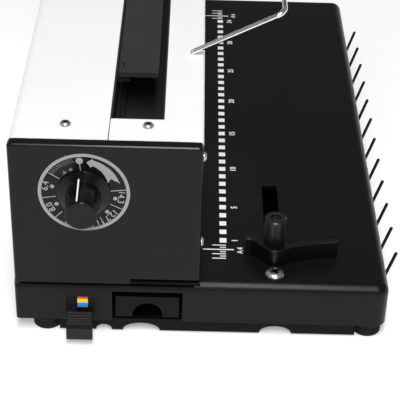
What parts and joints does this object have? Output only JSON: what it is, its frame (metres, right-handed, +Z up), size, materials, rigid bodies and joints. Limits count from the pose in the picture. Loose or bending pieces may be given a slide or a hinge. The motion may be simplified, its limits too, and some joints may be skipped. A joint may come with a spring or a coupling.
{
  "type": "wire punching and binding machine",
  "caption": "Manual punch and wire-closing machine with a side lever, hinged channel cover, wire size dial, chip drawer, edge guide, wire hooks and a document rest.",
  "frame": {"origin": "middle of the whole machine's footprint, on the surface it stands on", "axes": "+X to the operator's right along the base, +Y away from the operator, +Z up"},
  "size_m": [0.399, 0.254, 0.2205],
  "materials": {
    "black_moulding": "satin powder coat, faint orange peel",
    "black_sheet": "satin powder coat",
    "white_sheet": "satin white powder coat",
    "black_channel": "matt black",
    "black_cover": "fine matt grain",
    "black_die": "satin black",
    "black_lever": "satin black",
    "black_drawer": "matt moulded",
    "black_thumb": "matt moulded",
    "black_guide": "matt moulded",
    "black_wire": "black coated wire",
    "black_rubber": "matt",
    "grip_rubber": "soft matt grip",
    "gloss_black": "gloss moulded",
    "label_blue": "printed colour bands",
    "white_nylon": "natural nylon",
    "steel": "bright zinc plated",
    "cast_steel": "sintered steel",
    "bronze": "oiled bronze",
    "zinc_screw": "zinc plated",
    "chrome_screw": "bright nickel",
    "chrome_rod": "bright chrome"
  },
  "bodies": {
    "root": {"base_shell": "black_moulding", "bottom_pan": "black_sheet", "pan_screws": "zinc_screw", "rubber_feet": "black_rubber", "foot_screws": "zinc_screw", "left_side_plate": "black_sheet", "right_side_plate": "black_sheet", "left_frame": "steel", "right_frame": "steel", "rear_tie_bar": "steel", "front_cover": "white_sheet", "rear_cover": "white_sheet", "frame_screws": "zinc_screw", "top_screws": "chrome_screw", "front_screws": "chrome_screw", "channel_trough": "black_channel", "hinge_pins": "steel", "die_plate": "black_die", "guide_plate": "steel", "guide_posts": "steel", "shaft_bushes": "bronze", "return_spring": "steel", "dial_bush": "bronze", "drawer_runners": "steel", "setting_label": "label_blue", "table_screws": "chrome_screw", "hook_rail": "black_sheet", "wire_hooks": "black_wire", "rest_sockets": "white_nylon"},
    "lever": {"main_shaft": "steel", "drive_cranks": "cast_steel", "stop_arm": "cast_steel", "lever_arm": "black_lever", "lever_grip": "grip_rubber", "lever_screw": "chrome_screw"},
    "punch_bar": {"pressure_bar": "steel", "pin_holder": "steel", "punch_pins": "steel"},
    "jaw": {"closing_jaw": "steel"},
    "dial": {"dial_knob": "gloss_black", "dial_shaft": "steel", "stop_cam": "white_nylon"},
    "cover_flap": {"slot_cover": "black_cover"},
    "drawer": {"waste_drawer": "black_drawer"},
    "selector": {"margin_selector": "black_thumb"},
    "gauge": {"back_gauge": "steel"},
    "guide": {"edge_guide": "black_guide", "guide_nut": "steel"},
    "clamp_knob": {"guide_knob": "black_guide", "guide_stud": "steel"},
    "rest": {"document_rest": "chrome_rod"}
  },
  "joints": [
    {"name": "lever_pull", "type": "hinge", "parent": "root", "child": "lever", "pos_m": [0.1856, 0.03089, 0.064], "axis": [1, 0, 0], "range_deg": [0, 80], "stiffness_Nm_per_rad": 0.16, "springref_deg": -34.38},
    {"name": "punch_stroke", "type": "slide", "parent": "root", "child": "punch_bar", "axis": [0, 0, -1], "range_m": [0, 0.01157]},
    {"name": "jaw_stroke", "type": "slide", "parent": "root", "child": "jaw", "axis": [0, -1, 0], "range_m": [0, 0.01414]},
    {"name": "dial_turn", "type": "hinge", "parent": "root", "child": "dial", "pos_m": [-0.1776, 0.05239, 0.0964], "axis": [-1, 0, 0], "range_deg": [-6, 250]},
    {"name": "cover_lift", "type": "hinge", "parent": "root", "child": "cover_flap", "pos_m": [0.004, 0.03684, 0.1244], "axis": [-1, 0, 0], "range_deg": [0, 105]},
    {"name": "drawer_slide", "type": "slide", "parent": "root", "child": "drawer", "axis": [-1, 0, 0], "range_m": [0, 0.3]},
    {"name": "selector_lift", "type": "slide", "parent": "root", "child": "selector", "axis": [0, 0, 1], "range_m": [0, 0.0048]},
    {"name": "gauge_slide", "type": "slide", "parent": "root", "child": "gauge", "axis": [0, 1, 0], "range_m": [0, 0.004]},
    {"name": "guide_slide", "type": "slide", "parent": "root", "child": "guide", "axis": [1, 0, 0], "range_m": [0, 0.066]},
    {"name": "clamp_turn", "type": "hinge", "parent": "guide", "child": "clamp_knob", "pos_m": [-0.1458, -0.05311, 0.036], "axis": [0, 0, 1], "range_deg": [0, 360]},
    {"name": "rest_pull", "type": "slide", "parent": "root", "child": "rest", "axis": [0, 0, 1], "range_m": [0, 0.018]}
  ],
  "couplings": [
    {"joint": "punch_stroke", "follows": "lever_pull", "m_per_rad": 0.0082865},
    {"joint": "jaw_stroke", "follows": "lever_pull", "m_per_rad": 0.010128},
    {"joint": "gauge_slide", "follows": "selector_lift", "ratio": 0.83333}
  ]
}
